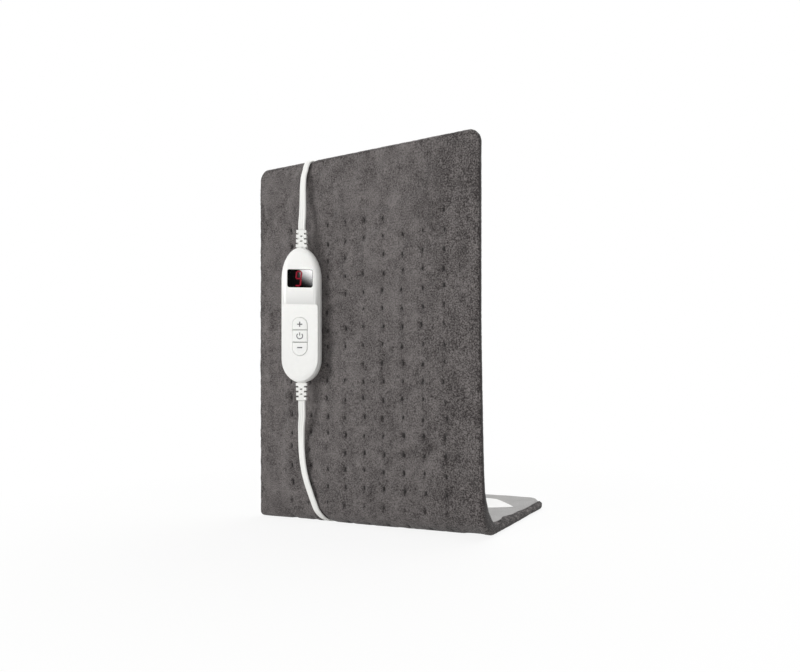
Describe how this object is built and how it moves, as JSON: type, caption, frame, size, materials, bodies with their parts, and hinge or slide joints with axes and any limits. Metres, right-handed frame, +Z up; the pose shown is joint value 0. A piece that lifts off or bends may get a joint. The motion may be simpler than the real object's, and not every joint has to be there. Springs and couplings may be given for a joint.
{
  "type": "heating pad with controller",
  "caption": "Soft tufted electric heating pad bent into an L on its own foot, with a hand controller hanging on its flat lead, sprung keys, display lens and a coiled mains lead.",
  "frame": {"origin": "on the floor under the middle of the pad and controller", "axes": "+Z up along the panel, -Y the way the plush face and the controller look, +X to the right as seen from the front"},
  "size_m": [0.331, 0.3531, 0.4303],
  "materials": {
    "plush": "short dark grey plush pile",
    "flannel": "brushed light grey flannel",
    "felt": "matte non-woven felt",
    "silicone": "satin silicone",
    "white_housing": "fine satin moulded white",
    "key_plastic": "satin moulded white",
    "smoked_lens": "polished black",
    "dark_plastic": "matte black",
    "board": "solder mask green",
    "brass": "rolled",
    "steel": "zinc plated",
    "white_lead": "satin white soft PVC",
    "film_capacitor": "matte yellow",
    "capacitor_sleeve": "satin dark blue sleeve",
    "fuse_glass": "clear"
  },
  "bodies": {
    "pad_and_controller": {"pad_front_cover": "plush", "pad_back_cover": "flannel", "wire_carrier_felt": "felt", "heating_wire": "silicone", "thermal_fuse": "steel", "pad_socket": "white_housing", "socket_pin_1": "brass", "socket_pin_2": "brass", "socket_pin_3": "brass", "connector_plug": "white_lead", "front_shell": "white_housing", "rear_shell": "white_housing", "shell_screw_1": "steel", "shell_screw_2": "steel", "shell_screw_3": "steel", "shell_screw_4": "steel", "display_lens": "smoked_lens", "led_display": "dark_plastic", "plus_switch": "dark_plastic", "power_switch": "dark_plastic", "minus_switch": "dark_plastic", "circuit_board": "board", "microcontroller": "dark_plastic", "film_capacitor": "film_capacitor", "smoothing_capacitor": "capacitor_sleeve", "triac": "dark_plastic", "mains_fuse": "fuse_glass", "upper_strain_relief": "white_lead", "lower_strain_relief": "white_lead", "pad_lead_core_1": "silicone", "pad_lead_core_2": "silicone", "pad_lead_core_3": "silicone", "mains_lead_core_1": "silicone", "mains_lead_core_2": "silicone", "pad_lead": "white_lead", "mains_lead": "white_lead", "mains_coil": "white_lead", "coil_tie": "dark_plastic", "plug_tail": "white_lead", "plug_relief": "white_lead", "plug_body": "white_lead", "plug_blade_1": "brass", "plug_blade_2": "brass"},
    "plus_key": {"plus_button": "key_plastic", "plus_plunger": "dark_plastic"},
    "power_key": {"power_button": "key_plastic", "power_plunger": "dark_plastic"},
    "minus_key": {"minus_button": "key_plastic", "minus_plunger": "dark_plastic"}
  },
  "joints": [
    {"name": "plus_press", "type": "slide", "parent": "pad_and_controller", "child": "plus_key", "axis": [-0.5, 0.866, 0], "range_m": [0, 0.0006], "stiffness_N_per_m": 800},
    {"name": "power_press", "type": "slide", "parent": "pad_and_controller", "child": "power_key", "axis": [-0.5, 0.866, 0], "range_m": [0, 0.0006], "stiffness_N_per_m": 800},
    {"name": "minus_press", "type": "slide", "parent": "pad_and_controller", "child": "minus_key", "axis": [-0.5, 0.866, 0], "range_m": [0, 0.0006], "stiffness_N_per_m": 800}
  ]
}
